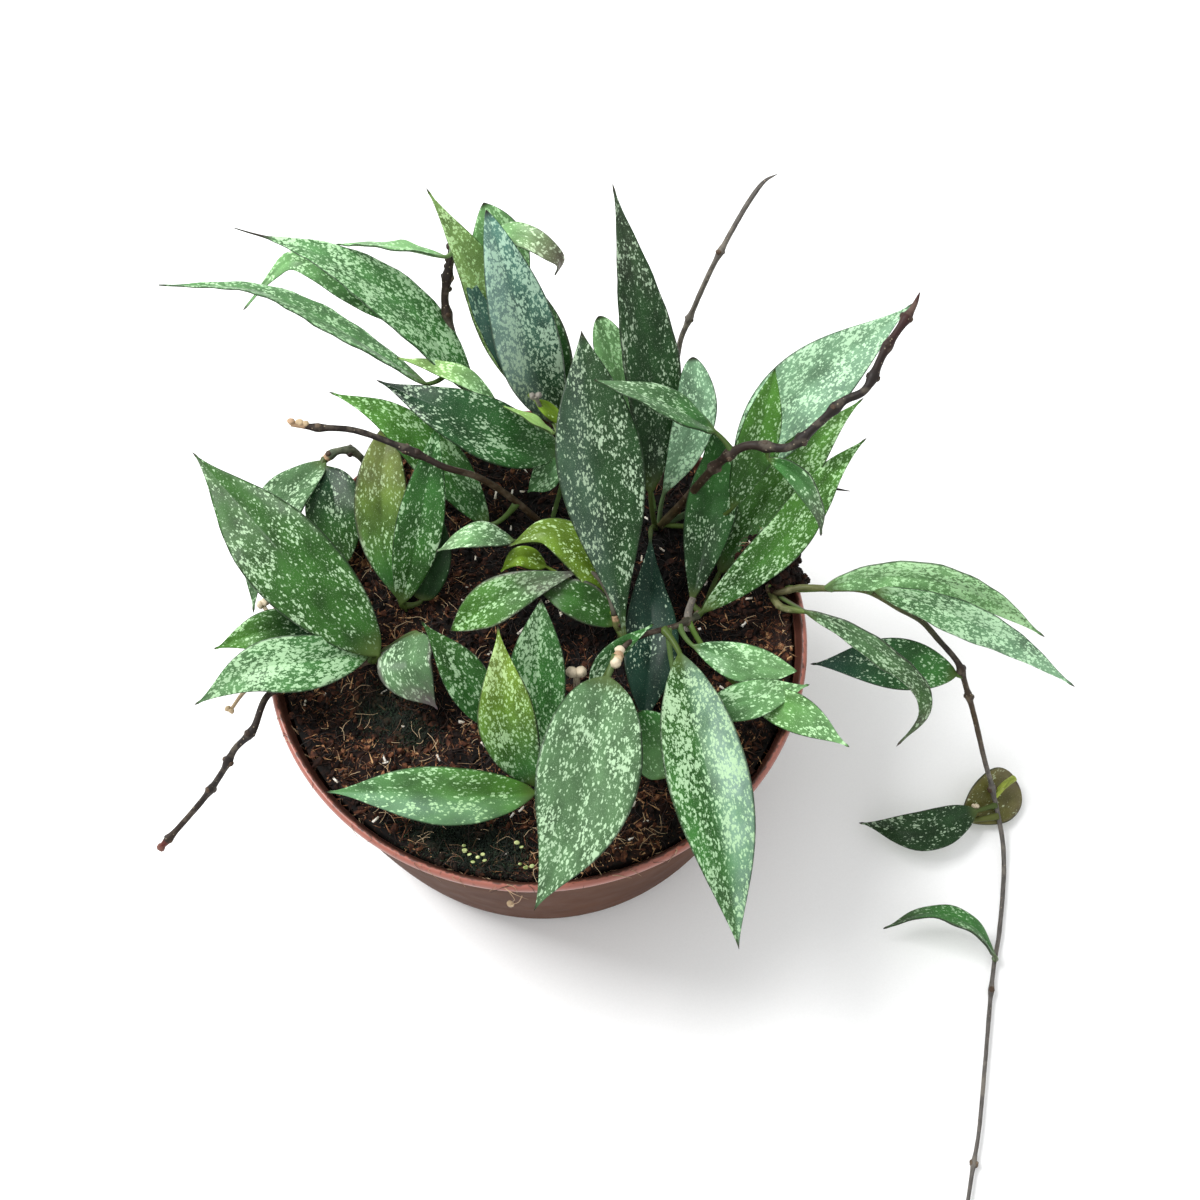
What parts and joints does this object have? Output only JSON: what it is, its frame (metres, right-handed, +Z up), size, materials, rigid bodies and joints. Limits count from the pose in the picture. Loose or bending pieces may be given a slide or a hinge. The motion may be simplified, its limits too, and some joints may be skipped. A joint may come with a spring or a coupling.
{
  "type": "potted hoya plant",
  "caption": "Hoya house plant in a shallow plastic bowl pot: speckled, pointed waxy leaves on woody stems, with one long stem trailing over the rim.",
  "frame": {"origin": "centre of the pot's round base, on the surface that it stands on", "axes": "+Z up along the pot's axis; -Y towards the viewer of the picture; +X to the right, the side where the long stem trails over the rim"},
  "size_m": [0.3603, 0.364, 0.2124],
  "materials": {
    "pot_plastic": "moulded terracotta-brown polypropylene, satin-matte",
    "peat": "damp dark peat and coir, rough",
    "hoya_leaf": "thick waxy leaf, satin, dark green with pale silver speckles",
    "stem_bark": "thin grey-brown bark, matte"
  },
  "bodies": {
    "root": {"pot": "pot_plastic", "soil": "peat", "rear_left_stem": "hoya_leaf", "rear_stem": "hoya_leaf", "bare_twig": "stem_bark", "right_stem": "hoya_leaf", "long_left_stem": "hoya_leaf", "small_left_stem": "hoya_leaf", "left_pair_stem": "hoya_leaf", "mid_left_stem": "hoya_leaf", "centre_stem": "hoya_leaf", "front_stem": "hoya_leaf", "front_sprout": "hoya_leaf", "front_left_sprout": "hoya_leaf", "small_front_sprout": "hoya_leaf", "trailing_stem": "hoya_leaf"}
  },
  "joints": []
}
